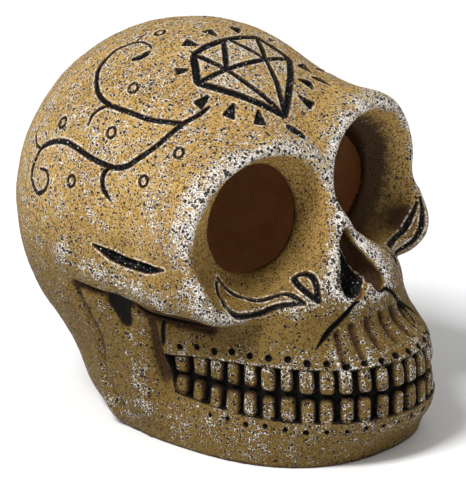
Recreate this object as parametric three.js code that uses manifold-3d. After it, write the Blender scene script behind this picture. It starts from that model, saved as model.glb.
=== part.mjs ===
// Air-driven aquarium ornament: a hollow cast resin sugar skull with its bubbling gear inside.
// Millimetres, +Z up, face towards -Y, +X on the skull's own left, standing on z = 0.
import * as THREE from 'three';
import { mergeVertices } from 'three/addons/utils/BufferGeometryUtils.js';
import Module from 'manifold-3d';

const wasm = await Module();
wasm.setup();

// ---- Driving dimensions ----

const GAP = 0.3; // assembly gap between neighbouring pieces
const CENTRE_SHIFT = -3.7; // moves the whole ornament so that its footprint centre is the origin

const CRANIUM = { centre: [0, 15, 59.3], radii: [50, 52, 52.7] };
const HOLLOW = { centre: [0, 17.5, 58], radii: [44, 43.5, 46] };
const BROW_HOLLOW = { centre: [16, -5, 66], radii: [26, 19.5, 19] }; // one behind each eye
const JAW_HOLLOW = { halfWidth: 27, halfLength: 40, y: -10, exponent: 2.4, z: 5, halfHeight: 23 };
const TOOTH_ARCH = { halfWidth: 34.5, halfLength: 49.5, y: -17, exponent: 2.2 };
const JAW = { halfWidth: 36.5, halfLength: 43.5, y: -15, exponent: 2.35 };
const NECK = { halfWidth: 34, halfLength: 35, y: 8, exponent: 2.4 };

// An eye socket is a funnel: an oval mouth that narrows and leans inwards down to its throat.
const SOCKET = { centre: [24.8, -32.5, 69], normal: [0.15, -0.98, 0.04], droop: -18, depth: 10 };
const SOCKET_MOUTH = { halfWidth: 23.5, halfHeight: 18.8 };
const SOCKET_THROAT = { halfWidth: 15.5, halfHeight: 15.8, across: -4.5, up: -2.5 };
const FACE_TILT = 0.06; // the hand-modelled face leans: its left side stands higher

const BITE_Z = 22;
const MOUTH_END_Y = -9.5;
const MOUTH_DEPTH = 3;
const TOOTH_SPACING = 1.2; // gap between neighbouring teeth
const TEETH_PER_ROW = 26;
const UPPER_TOOTH_HEIGHT = 8;
const LOWER_TOOTH_HEIGHT = 7.4;
const GUM_MARGIN = 0.8;

const INLET_Z = 44;
const WALL_OUTER_Y = 64; // spot-faced wall that the inlet passes through
const WALL_INNER_Y = 60.2;
const INLET_HOLE_R = 4.5;
const SPOT_FACE_OUTER_R = 8;
const SPOT_FACE_INNER_R = 9;
const STEM_R = 2.6;
const BARB_R = 2;
const BARB_CORE_R = 1.6;
const AIR_BORE_R = 1;
const BARB_PITCH = 3;
const TUBE_INNER_R = BARB_R + GAP;
const TUBE_OUTER_R = 3.2;

const STONE_R = 8;
const STONE_Z = 14.5;
const STONE_FRONT_Y = -30;
const STONE_REAR_Y = -4;
const BRIDGE = {
  bottom: 1.6, top: 3.7, armHalf: 33, armY: -16, armWidth: 12, spineWidth: 16, front: -29, rear: 14,
};
const SCREW_X = 30.4;
const SCREW_SHANK_R = 1.2;

// ---- Materials ----

const resin = new THREE.MeshStandardMaterial({ color: 0xa98f62, roughness: 0.75, metalness: 0 });
const blackPlastic = new THREE.MeshStandardMaterial({ color: 0x1b1c1e, roughness: 0.4, metalness: 0 });
const greyPlastic = new THREE.MeshStandardMaterial({ color: 0x5d6064, roughness: 0.5, metalness: 0 });
const rubber = new THREE.MeshStandardMaterial({ color: 0x141414, roughness: 0.85, metalness: 0 });
const silicone = new THREE.MeshStandardMaterial({ color: 0xc9d3d2, roughness: 0.35, metalness: 0 });
const airStone = new THREE.MeshStandardMaterial({ color: 0x7d8a94, roughness: 0.95, metalness: 0 });
const stainless = new THREE.MeshStandardMaterial({ color: 0xb9bcbf, roughness: 0.3, metalness: 1 });

// ---- Solids ----

function solidOf(geometry) {
  const bare = geometry.clone();
  bare.deleteAttribute('normal');
  bare.deleteAttribute('uv');
  const merged = mergeVertices(bare, 1e-4);
  return new wasm.Manifold(new wasm.Mesh({
    numProp: 3,
    vertProperties: new Float32Array(merged.attributes.position.array),
    triVerts: new Uint32Array(merged.index.array),
  }));
}

function meshOf(name, solid, material) {
  const { vertProperties, triVerts } = solid.getMesh();
  const geometry = new THREE.BufferGeometry();
  geometry.setAttribute('position', new THREE.BufferAttribute(vertProperties, 3));
  geometry.setIndex(new THREE.BufferAttribute(triVerts, 1));
  geometry.computeVertexNormals();
  const mesh = new THREE.Mesh(geometry, material);
  mesh.name = name;
  return mesh;
}

function box(width, depth, height, centre) {
  return solidOf(new THREE.BoxGeometry(width, depth, height).translate(...centre));
}

// A turned piece on an axis along +Y through (0, 0, z): profile is a list of [radius, y].
function turned(profile, z, segments = 24) {
  const points = profile.map(([radius, y]) => new THREE.Vector2(radius, y));
  return solidOf(new THREE.LatheGeometry(points, segments).translate(0, 0, z));
}

function rodY(radius, from, to, z, segments = 24) {
  return turned([[0, from], [radius, from], [radius, to], [0, to]], z, segments);
}

function rodZ(radius, from, to, x, y, segments = 16) {
  const rod = new THREE.CylinderGeometry(radius, radius, to - from, segments);
  return solidOf(rod.rotateX(Math.PI / 2).translate(x, y, (from + to) / 2));
}

// ---- Smoothly blended distance fields, the sculptor's clay ----

function smoothMin(a, b, k) {
  const h = Math.max(k - Math.abs(a - b), 0) / k;
  return Math.min(a, b) - h * h * k / 4;
}

function smoothMax(a, b, k) {
  return -smoothMin(-a, -b, k);
}

function ellipsoid(p, centre, radii) {
  const q = p.map((value, i) => value - centre[i]);
  const k0 = Math.hypot(q[0] / radii[0], q[1] / radii[1], q[2] / radii[2]);
  const k1 = Math.hypot(q[0] / radii[0] ** 2, q[1] / radii[1] ** 2, q[2] / radii[2] ** 2);
  return k0 * (k0 - 1) / Math.max(k1, 1e-6);
}

function capsule(p, a, b, radiusA, radiusB) {
  const along = b.map((value, i) => value - a[i]);
  const from = p.map((value, i) => value - a[i]);
  const dot = along[0] * from[0] + along[1] * from[1] + along[2] * from[2];
  const length2 = along[0] ** 2 + along[1] ** 2 + along[2] ** 2;
  const t = THREE.MathUtils.clamp(dot / length2, 0, 1);
  const distance = Math.hypot(from[0] - t * along[0], from[1] - t * along[1], from[2] - t * along[2]);
  return distance - radiusA - (radiusB - radiusA) * t;
}

// A block whose plan is a superellipse, between two heights.
function archBlock(p, { halfWidth, halfLength, y, exponent }, middle, halfHeight, k) {
  const sum = Math.abs(p[0] / halfWidth) ** exponent + Math.abs((p[1] - y) / halfLength) ** exponent;
  const plan = sum ** (1 / exponent);
  return smoothMax((plan - 1) * Math.min(halfWidth, halfLength), Math.abs(p[2] - middle) - halfHeight, k);
}

// The left socket's own axes: out along the funnel, then across and up its drooping oval.
const socketAxis = new THREE.Vector3(...SOCKET.normal).normalize();
const socketAcross = new THREE.Vector3(0, 0, 1).cross(socketAxis).normalize();
socketAcross.applyAxisAngle(socketAxis, THREE.MathUtils.degToRad(SOCKET.droop));
const socketUp = socketAxis.clone().cross(socketAcross);

function socketCoordinates(p) {
  const q = new THREE.Vector3(p[0], p[1], p[2]).sub(new THREE.Vector3(...SOCKET.centre));
  return [q.dot(socketAcross), q.dot(socketUp), q.dot(socketAxis)];
}

function skullField(x, y, z) {
  const p = [Math.abs(x), y, z]; // the skull is the same on both sides
  const face = [Math.abs(x), y, z - FACE_TILT * x];
  let d = ellipsoid(p, CRANIUM.centre, CRANIUM.radii);
  d = smoothMin(d, ellipsoid(p, [0, -8, 68], [38, 24, 25]), 14); // forehead
  d = smoothMin(d, ellipsoid(p, [0, -28, 42], [30, 26, 22]), 12); // upper jaw
  d = smoothMin(d, archBlock(p, TOOTH_ARCH, 21, 14, 10), 10);
  d = smoothMin(d, archBlock(p, JAW, 4, 12, 12), 8);
  d = smoothMin(d, archBlock(p, NECK, 24, 24, 18), 10);
  const branchRear = capsule(p, [36, 15, 37], [30.5, 12, 8], 6.5, 6.5);
  const branchFront = capsule(p, [36, 2, 34], [34, 0, 12], 6, 6);
  d = smoothMin(d, smoothMin(branchRear, branchFront, 8), 4); // upright branch of the lower jaw
  const [across, up, out] = socketCoordinates(face);
  const orbit = (Math.hypot(across / 26.5, up / 24) - 1) * 24;
  d = smoothMin(d, smoothMax(orbit, Math.abs(out + 11.5) - 12, 9), 7);
  d = smoothMin(d, capsule(p, [0, -30.5, 71], [0, -39.5, 64], 3.5, 3.5), 5); // bridge of the nose
  d = smoothMin(d, ellipsoid(face, [36, -30, 55], [10, 9, 9]), 7); // cheek bone
  const archFront = capsule(p, [39, -27, 51], [44, -16, 50], 7, 6);
  const archBack = capsule(p, [44, -16, 50], [46, 18, 55], 6, 5.5);
  d = smoothMin(d, Math.min(archFront, archBack), 5);
  return smoothMax(d, -ellipsoid(p, [45.5, 3, 36], [6, 6.5, 5]), 3); // hollow under the cheek arch
}

function hollowField(x, y, z) {
  const p = [x, y, z];
  const brow = ellipsoid([Math.abs(x), y, z], BROW_HOLLOW.centre, BROW_HOLLOW.radii);
  const dome = smoothMin(ellipsoid(p, HOLLOW.centre, HOLLOW.radii), brow, 4);
  return smoothMin(dome, archBlock(p, JAW_HOLLOW, JAW_HOLLOW.z, JAW_HOLLOW.halfHeight, 6), 8);
}

// Shrinks a fine ball on to a field, so that every vertex lies on the outermost surface.
function shrunkOn(field, centre, detail) {
  const start = 110;
  const geometry = new THREE.IcosahedronGeometry(1, detail);
  const position = geometry.attributes.position;
  const ray = new THREE.Vector3();
  for (let i = 0; i < position.count; i += 1) {
    ray.fromBufferAttribute(position, i).normalize();
    let reach = start;
    for (let step = 0; step < 200; step += 1) {
      const d = field(centre[0] + ray.x * reach, centre[1] + ray.y * reach, centre[2] + ray.z * reach);
      reach -= d * 0.7;
      if (Math.abs(d) < 0.003) break;
    }
    ray.multiplyScalar(reach);
    position.setXYZ(i, centre[0] + ray.x, centre[1] + ray.y, centre[2] + ray.z);
  }
  return solidOf(geometry);
}

// ---- The skull casting ----

// Moves a round bar's vertices on to the socket's oval at their distance out along its axis.
function socketBar(from, to, segments) {
  const bar = new THREE.CylinderGeometry(1, 1, to - from, 36, segments).translate(0, (from + to) / 2, 0);
  const position = bar.attributes.position;
  for (let i = 0; i < position.count; i += 1) {
    const out = position.getY(i);
    const depth = Math.min(-out / SOCKET.depth, 1);
    const bowl = depth > 0 ? depth ** 1.6 : depth;
    const halfWidth = THREE.MathUtils.lerp(SOCKET_MOUTH.halfWidth, SOCKET_THROAT.halfWidth, bowl);
    const halfHeight = THREE.MathUtils.lerp(SOCKET_MOUTH.halfHeight, SOCKET_THROAT.halfHeight, bowl);
    const across = SOCKET_THROAT.across * bowl + halfWidth * position.getX(i);
    const up = SOCKET_THROAT.up * bowl - halfHeight * position.getZ(i);
    const at = new THREE.Vector3(...SOCKET.centre);
    at.addScaledVector(socketAcross, across).addScaledVector(socketUp, up).addScaledVector(socketAxis, out);
    position.setXYZ(i, at.x, at.y, at.z);
  }
  return solidOf(bar);
}

// Both eye funnels, the right one a mirror image, each shifted by the lean of the face.
function eyeFunnels() {
  const funnel = socketBar(-SOCKET.depth, 0, 4).add(socketBar(0, 12, 1));
  const left = funnel.add(socketBar(-SOCKET.depth - 12, -SOCKET.depth, 1));
  const right = left.mirror([1, 0, 0]);
  const lift = FACE_TILT * SOCKET.centre[0];
  return left.translate([0, 0, lift]).add(right.translate([0, 0, -lift]));
}

// The pear-shaped nose opening, a blind pocket with a spine at its foot.
function noseCut() {
  const outline = new THREE.Shape();
  outline.moveTo(0, 65);
  outline.quadraticCurveTo(5, 56, 7.5, 49);
  outline.quadraticCurveTo(7, 45, 4, 46);
  outline.lineTo(-0.5, 51);
  outline.lineTo(-5, 46);
  outline.quadraticCurveTo(-9, 45, -10, 50);
  outline.quadraticCurveTo(-8, 56, 0, 65);
  const pocket = new THREE.ExtrudeGeometry(outline, { depth: 30, bevelEnabled: false, curveSegments: 4 });
  return solidOf(pocket.rotateX(Math.PI / 2).translate(0, -42, 0));
}

// The tooth line: the front of the superellipse arch, from the right mouth corner round to the left.
function toothLine(inset) {
  const { halfWidth, halfLength, y, exponent } = TOOTH_ARCH;
  const steps = 32;
  const points = [new THREE.Vector2(inset - halfWidth, MOUTH_END_Y)];
  for (let i = 0; i <= steps; i += 1) {
    const t = Math.PI * i / steps;
    const cos = -Math.cos(t);
    const px = Math.sign(cos) * Math.abs(cos) ** (2 / exponent) * (halfWidth - inset);
    const py = y - Math.abs(Math.sin(t)) ** (2 / exponent) * (halfLength - inset);
    points.push(new THREE.Vector2(px, py));
  }
  points.push(new THREE.Vector2(halfWidth - inset, MOUTH_END_Y));
  return points;
}

function mouthBand() {
  const inner = toothLine(MOUTH_DEPTH);
  const outer = toothLine(-8).reverse();
  const band = new THREE.Shape([...inner, ...outer]);
  const bottom = BITE_Z - LOWER_TOOTH_HEIGHT - GUM_MARGIN;
  const top = BITE_Z + UPPER_TOOTH_HEIGHT + GUM_MARGIN;
  const extruded = new THREE.ExtrudeGeometry(band, { depth: top - bottom, bevelEnabled: false });
  return solidOf(extruded.translate(0, 0, bottom));
}

// One tooth: a block rounded at its front corners, rooted in the floor of the mouth band.
function tooth(width, height) {
  const depth = MOUTH_DEPTH + 0.9;
  const round = 1.3;
  const plan = new THREE.Shape();
  plan.moveTo(-width / 2, depth);
  plan.lineTo(-width / 2, round);
  plan.quadraticCurveTo(-width / 2, 0, -width / 2 + round, 0);
  plan.lineTo(width / 2 - round, 0);
  plan.quadraticCurveTo(width / 2, 0, width / 2, round);
  plan.lineTo(width / 2, depth);
  return new THREE.ExtrudeGeometry(plan, { depth: height, bevelEnabled: false, curveSegments: 1 });
}

function teeth() {
  const line = new THREE.SplineCurve(toothLine(0));
  const pitch = line.getLength() / TEETH_PER_ROW;
  const rows = [
    { bottom: BITE_Z + GAP, height: UPPER_TOOTH_HEIGHT - GAP },
    { bottom: BITE_Z - LOWER_TOOTH_HEIGHT, height: LOWER_TOOTH_HEIGHT - GAP },
  ];
  const all = [];
  for (const row of rows) {
    for (let i = 0; i < TEETH_PER_ROW; i += 1) {
      const at = (i + 0.5) / TEETH_PER_ROW;
      const point = line.getPointAt(at);
      const tangent = line.getTangentAt(at);
      const block = tooth(pitch - TOOTH_SPACING, row.height);
      block.rotateZ(Math.atan2(tangent.y, tangent.x)).translate(point.x, point.y, row.bottom);
      all.push(solidOf(block));
    }
  }
  return all;
}

function bridgeNotch(side) {
  const { armHalf, armY, armWidth, top } = BRIDGE;
  const inner = 20;
  const length = armHalf + GAP - inner;
  const height = top + GAP + 1;
  return box(length, armWidth + 2 * GAP, height, [side * (inner + length / 2), armY, height / 2 - 1]);
}

function skullShell() {
  const heart = [0, -4, 44];
  let shell = shrunkOn(skullField, heart, 15);
  shell = shell.subtract(shrunkOn(hollowField, [0, 4, 40], 8));
  shell = shell.subtract(box(200, 200, 60, [0, 0, -30])); // flat on its base
  shell = shell.subtract(noseCut());
  shell = shell.subtract(mouthBand());
  for (const one of teeth()) shell = shell.add(one);
  shell = shell.subtract(eyeFunnels());
  for (const side of [-1, 1]) {
    shell = shell.subtract(bridgeNotch(side));
    shell = shell.subtract(rodZ(SCREW_SHANK_R + GAP, 0, 10, side * SCREW_X, BRIDGE.armY));
  }
  shell = shell.subtract(rodY(INLET_HOLE_R, 50, 75, INLET_Z));
  shell = shell.subtract(rodY(SPOT_FACE_OUTER_R, WALL_OUTER_Y, 75, INLET_Z));
  shell = shell.subtract(rodY(SPOT_FACE_INNER_R, 50, WALL_INNER_Y, INLET_Z));
  return meshOf('skull_shell', shell, resin);
}

// ---- Air inlet ----

const FLANGE_R = 6.2;
const FLANGE_THICKNESS = 1.5;
const FLANGE_OUTER_Y = WALL_OUTER_Y + GAP + FLANGE_THICKNESS;
const FLANGE_INNER_Y = WALL_INNER_Y - GAP - FLANGE_THICKNESS;
const NUT_THICKNESS = 3;
const NUT_FRONT_Y = FLANGE_INNER_Y - GAP - NUT_THICKNESS;
const STEM_END_Y = NUT_FRONT_Y - 0.5;
const ELBOW_Y = FLANGE_OUTER_Y + 5.5;
const LEG_LENGTH = 17;

function inletGrommet() {
  const bore = STEM_R + GAP;
  const neck = INLET_HOLE_R - GAP;
  return meshOf('inlet_grommet', turned([
    [bore, FLANGE_INNER_Y],
    [FLANGE_R, FLANGE_INNER_Y],
    [FLANGE_R, FLANGE_INNER_Y + FLANGE_THICKNESS],
    [neck, FLANGE_INNER_Y + FLANGE_THICKNESS],
    [neck, FLANGE_OUTER_Y - FLANGE_THICKNESS],
    [FLANGE_R, FLANGE_OUTER_Y - FLANGE_THICKNESS],
    [FLANGE_R, FLANGE_OUTER_Y],
    [bore, FLANGE_OUTER_Y],
    [bore, FLANGE_INNER_Y],
  ], INLET_Z), rubber);
}

// A hose barb as a profile of [radius, distance]: count saw teeth that slope towards the tip.
function barbProfile(root, count) {
  const profile = [[0, 0], [root, 0], [root, 1]];
  for (let i = 0; i < count; i += 1) {
    const from = 1 + i * BARB_PITCH;
    profile.push([BARB_CORE_R, from + 0.01], [BARB_CORE_R, from + 0.8], [BARB_R, from + 0.9]);
    profile.push([BARB_CORE_R, from + BARB_PITCH]);
  }
  profile.push([0, 1 + count * BARB_PITCH]);
  return profile;
}

function inletElbow() {
  const innerBarb = barbProfile(BARB_CORE_R, 2).map(([r, s]) => [r, STEM_END_Y + 0.5 - s]).reverse();
  let elbow = rodY(STEM_R, STEM_END_Y, ELBOW_Y, INLET_Z, 12);
  elbow = elbow.add(turned(innerBarb, INLET_Z, 16));
  elbow = elbow.add(rodY(4.4, FLANGE_OUTER_Y + GAP, FLANGE_OUTER_Y + GAP + 1.4, INLET_Z, 16));
  elbow = elbow.add(solidOf(new THREE.SphereGeometry(STEM_R, 16, 8).translate(0, ELBOW_Y, INLET_Z)));
  const legRoot = 5;
  elbow = elbow.add(rodZ(STEM_R, INLET_Z, INLET_Z + legRoot, 0, ELBOW_Y));
  const legProfile = barbProfile(BARB_CORE_R, (LEG_LENGTH - legRoot) / BARB_PITCH);
  const leg = new THREE.LatheGeometry(legProfile.map(([r, s]) => new THREE.Vector2(r, s)), 16);
  elbow = elbow.add(solidOf(leg.rotateX(Math.PI / 2).translate(0, ELBOW_Y, INLET_Z + legRoot - 1)));
  elbow = elbow.subtract(rodY(AIR_BORE_R, 30, ELBOW_Y, INLET_Z, 12));
  elbow = elbow.subtract(rodZ(AIR_BORE_R, INLET_Z - AIR_BORE_R, INLET_Z + 40, 0, ELBOW_Y, 12));
  return meshOf('inlet_elbow', elbow, blackPlastic);
}

function hexagon(acrossFlats) {
  const corner = acrossFlats / Math.sqrt(3);
  const shape = new THREE.Shape();
  for (let i = 0; i < 6; i += 1) {
    const angle = i * Math.PI / 3;
    shape[i === 0 ? 'moveTo' : 'lineTo'](corner * Math.cos(angle), corner * Math.sin(angle));
  }
  return shape;
}

function inletNut() {
  const shape = hexagon(9.5);
  shape.holes.push(new THREE.Path().absarc(0, 0, STEM_R + GAP, 0, Math.PI * 2, true));
  const settings = { depth: NUT_THICKNESS, bevelEnabled: false, curveSegments: 12 };
  const nut = new THREE.ExtrudeGeometry(shape, settings);
  nut.rotateX(Math.PI / 2).translate(0, NUT_FRONT_Y + NUT_THICKNESS, INLET_Z);
  return meshOf('inlet_nut', solidOf(nut), blackPlastic);
}

// ---- Inner air line ----

function airTube() {
  const stoneEnd = STONE_REAR_Y + GAP + 1.5 + GAP;
  const path = new THREE.CatmullRomCurve3([
    new THREE.Vector3(0, stoneEnd, STONE_Z),
    new THREE.Vector3(0, 6, STONE_Z),
    new THREE.Vector3(0, 14, STONE_Z),
    new THREE.Vector3(0, 22.5, 18),
    new THREE.Vector3(0, 30, (STONE_Z + INLET_Z) / 2),
    new THREE.Vector3(0, 37.5, INLET_Z - 3.5),
    new THREE.Vector3(0, 46, INLET_Z),
    new THREE.Vector3(0, STEM_END_Y - GAP, INLET_Z),
  ]);
  const ring = new THREE.Shape().absarc(0, 0, TUBE_OUTER_R, 0, Math.PI * 2, false);
  ring.holes.push(new THREE.Path().absarc(0, 0, TUBE_INNER_R, 0, Math.PI * 2, true));
  const tube = new THREE.ExtrudeGeometry(ring, { steps: 22, extrudePath: path, curveSegments: 5 });
  return meshOf('air_tube', solidOf(tube), silicone);
}

// A snap clip: a ring open at the top, on a foot that stands on the bridge.
function snapClip(name, innerR, wall, y, length, footWidth) {
  const opening = THREE.MathUtils.degToRad(50);
  const from = Math.PI / 2 + opening;
  const to = Math.PI * 2.5 - opening;
  const ring = new THREE.Shape();
  ring.absarc(0, 0, innerR + wall, from, to, false);
  ring.absarc(0, 0, innerR, to, from, true);
  ring.closePath();
  const clip = new THREE.ExtrudeGeometry(ring, { depth: length, bevelEnabled: false, curveSegments: 14 });
  const foot = BRIDGE.top + GAP;
  const solid = solidOf(clip.rotateX(Math.PI / 2).translate(0, y + length / 2, STONE_Z));
  const footTop = STONE_Z - innerR - wall / 2;
  const block = box(footWidth, length, footTop - foot, [0, y, (foot + footTop) / 2]);
  const cradle = rodY(innerR + wall / 2, y - length, y + length, STONE_Z);
  return meshOf(name, solid.add(block.subtract(cradle)), greyPlastic);
}

// ---- Air stone and the bridge that carries it ----

function stoneNipple() {
  const collarFront = STONE_REAR_Y + GAP;
  const barb = barbProfile(BARB_CORE_R, 3).map(([r, s]) => [r, collarFront + 1 + s]);
  let nipple = rodY(BARB_R, STONE_REAR_Y - 7, collarFront + 0.5, STONE_Z, 16);
  nipple = nipple.add(rodY(4.2, collarFront, collarFront + 1.5, STONE_Z, 16));
  nipple = nipple.add(turned(barb, STONE_Z, 16));
  nipple = nipple.subtract(rodY(AIR_BORE_R, -40, 40, STONE_Z, 12));
  return meshOf('stone_nipple', nipple, blackPlastic);
}

function porousStone() {
  const chamfer = 0.8;
  let stone = turned([
    [0, STONE_FRONT_Y],
    [STONE_R - chamfer, STONE_FRONT_Y],
    [STONE_R, STONE_FRONT_Y + chamfer],
    [STONE_R, STONE_REAR_Y - chamfer],
    [STONE_R - chamfer, STONE_REAR_Y],
    [0, STONE_REAR_Y],
  ], STONE_Z);
  stone = stone.subtract(rodY(BARB_R + GAP, STONE_REAR_Y - 8, 10, STONE_Z, 16));
  return meshOf('air_stone', stone, airStone);
}

function stoneBridge() {
  const { bottom, top, armHalf, armY, armWidth, spineWidth, front, rear } = BRIDGE;
  const middle = (bottom + top) / 2;
  const thickness = top - bottom;
  let bridge = box(2 * armHalf, armWidth, thickness, [0, armY, middle]);
  bridge = bridge.add(box(spineWidth, rear - front, thickness, [0, (front + rear) / 2, middle]));
  for (const side of [-1, 1]) {
    bridge = bridge.subtract(rodZ(SCREW_SHANK_R + GAP, 0, 10, side * SCREW_X, armY));
  }
  return meshOf('stone_bridge', bridge, greyPlastic);
}

function bridgeScrew(name, side) {
  const headTop = BRIDGE.bottom - GAP;
  const head = [[0, 0.5], [2.2, 0.5], [2.6, headTop]];
  const profile = [...head, [SCREW_SHANK_R, headTop], [SCREW_SHANK_R, 7.5], [0, 8.5]];
  const screw = new THREE.LatheGeometry(profile.map(([r, z]) => new THREE.Vector2(r, z)), 20);
  screw.rotateX(Math.PI / 2).translate(side * SCREW_X, BRIDGE.armY, 0);
  return meshOf(name, solidOf(screw), stainless);
}

// ---- Assembly ----

const ornament = new THREE.Group();
ornament.add(
  skullShell(),
  inletGrommet(),
  inletElbow(),
  inletNut(),
  airTube(),
  snapClip('tube_clip', TUBE_OUTER_R + GAP, 1.3, 10, 5, 4),
  snapClip('stone_saddle_front', STONE_R + GAP, 1.5, -24, 6, 12),
  snapClip('stone_saddle_rear', STONE_R + GAP, 1.5, -9, 6, 12),
  stoneNipple(),
  porousStone(),
  stoneBridge(),
  bridgeScrew('bridge_screw_left', 1),
  bridgeScrew('bridge_screw_right', -1),
);
ornament.position.y = CENTRE_SHIFT;

export default ornament;
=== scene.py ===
"""Bubbling aquarium ornament: the looks of a cast resin sugar skull and of the bubbling gear inside it.

Shapes are designed in millimetres in the skull's own frame: face to -Y, standing on z = 0, x = 0 its middle.
"""

import math

import bpy
import numpy as np
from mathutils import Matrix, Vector
from mathutils.kdtree import KDTree


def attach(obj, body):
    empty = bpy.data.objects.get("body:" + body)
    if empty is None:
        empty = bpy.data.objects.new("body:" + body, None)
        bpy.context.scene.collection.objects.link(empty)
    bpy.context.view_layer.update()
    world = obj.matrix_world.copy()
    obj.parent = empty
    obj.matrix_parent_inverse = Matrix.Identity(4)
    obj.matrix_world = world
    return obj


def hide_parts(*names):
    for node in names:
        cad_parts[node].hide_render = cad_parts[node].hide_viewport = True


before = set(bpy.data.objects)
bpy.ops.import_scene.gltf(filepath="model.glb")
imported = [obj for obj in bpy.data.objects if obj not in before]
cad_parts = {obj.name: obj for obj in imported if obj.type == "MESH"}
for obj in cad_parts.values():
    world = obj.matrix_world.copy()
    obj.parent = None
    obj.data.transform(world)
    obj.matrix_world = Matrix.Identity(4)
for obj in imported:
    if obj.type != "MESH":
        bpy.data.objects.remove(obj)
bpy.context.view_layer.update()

CENTRE_SHIFT = -3.7  # from the skull's own frame to the frame of the whole ornament, along Y
FACE_TILT = 0.06  # the hand-modelled face leans: its left side stands higher
DOME_CENTRE = np.array([0.0, 15.0, 59.3])
DOME_RADII = (50.0, 52.0, 52.7)
TOOTH_ARCH = (34.5, 49.5, -17, 2.2)  # half width, half length, middle along Y and superellipse power
INLET_Z = 44  # height of the air inlet's hole
BRIDGE_Y = -16  # where the bridge's arms are let into the lower rim
MESH_CELL = 1.2


# ---- Camera ----

def camera(azimuth, elevation, distance, focal, aim):
    """A long lens looking at aim; focal is in image heights."""
    a, e = math.radians(azimuth), math.radians(elevation)
    back = Vector((math.sin(a) * math.cos(e), -math.cos(a) * math.cos(e), math.sin(e)))
    data = bpy.data.cameras.new("camera")
    data.sensor_width = 36
    data.lens = focal * data.sensor_width
    data.clip_start, data.clip_end = 0.05, 20
    obj = bpy.data.objects.new("camera", data)
    obj.location = Vector(aim) + back * distance
    obj.rotation_mode = "QUATERNION"
    obj.rotation_quaternion = back.to_track_quat("Z", "Y")
    bpy.context.scene.collection.objects.link(obj)
    bpy.context.scene.camera = obj


# ---- Distance fields: the clay ----

def smooth_min(a, b, k):
    h = np.maximum(k - np.abs(a - b), 0) / k
    return np.minimum(a, b) - h * h * k / 4


def smooth_max(a, b, k):
    return -smooth_min(-a, -b, k)


def ellipsoid(x, y, z, centre, radii):
    x, y, z = x - centre[0], y - centre[1], z - centre[2]
    k0 = np.sqrt((x / radii[0]) ** 2 + (y / radii[1]) ** 2 + (z / radii[2]) ** 2)
    k1 = np.sqrt((x / radii[0] ** 2) ** 2 + (y / radii[1] ** 2) ** 2 + (z / radii[2] ** 2) ** 2)
    return k0 * (k0 - 1) / np.maximum(k1, 1e-6)


def capsule(x, y, z, a, b, radius_a, radius_b):
    a, b = np.array(a, float), np.array(b, float)
    d = b - a
    t = np.clip(((x - a[0]) * d[0] + (y - a[1]) * d[1] + (z - a[2]) * d[2]) / (d @ d), 0, 1)
    off = np.sqrt((x - a[0] - t * d[0]) ** 2 + (y - a[1] - t * d[1]) ** 2 + (z - a[2] - t * d[2]) ** 2)
    return off - radius_a - (radius_b - radius_a) * t


def arch_block(x, y, z, half_width, half_length, middle_y, exponent, middle_z, half_height, k):
    """A block whose plan is a superellipse, between two heights."""
    across, along = np.abs(x / half_width), np.abs((y - middle_y) / half_length)
    plan = (across ** exponent + along ** exponent) ** (1 / exponent)
    return smooth_max((plan - 1) * min(half_width, half_length), np.abs(z - middle_z) - half_height, k)


def unit(v):
    v = np.asarray(v, float)
    return v / np.linalg.norm(v)


SOCKET_CENTRE = (24.8, -32.5, 69.0)
SOCKET_OUT = unit((0.15, -0.98, 0.04))
SOCKET_DROOP = math.radians(-18)
LEVEL = unit(np.cross((0, 0, 1), SOCKET_OUT))
SOCKET_ACROSS = LEVEL * math.cos(SOCKET_DROOP) + np.cross(SOCKET_OUT, LEVEL) * math.sin(SOCKET_DROOP)
SOCKET_UP = np.cross(SOCKET_OUT, SOCKET_ACROSS)


def socket_frame(x, y, z):
    x, y, z = x - SOCKET_CENTRE[0], y - SOCKET_CENTRE[1], z - SOCKET_CENTRE[2]
    return [x * axis[0] + y * axis[1] + z * axis[2] for axis in (SOCKET_ACROSS, SOCKET_UP, SOCKET_OUT)]


def arch_pocket(x, y, z):
    """The small hollow under each cheek arch, wide at the top."""
    return capsule(np.abs(x), y, z, (46.5, 2.2, 41), (44, 1.8, 36.5), 3.8, 2.0)


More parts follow.
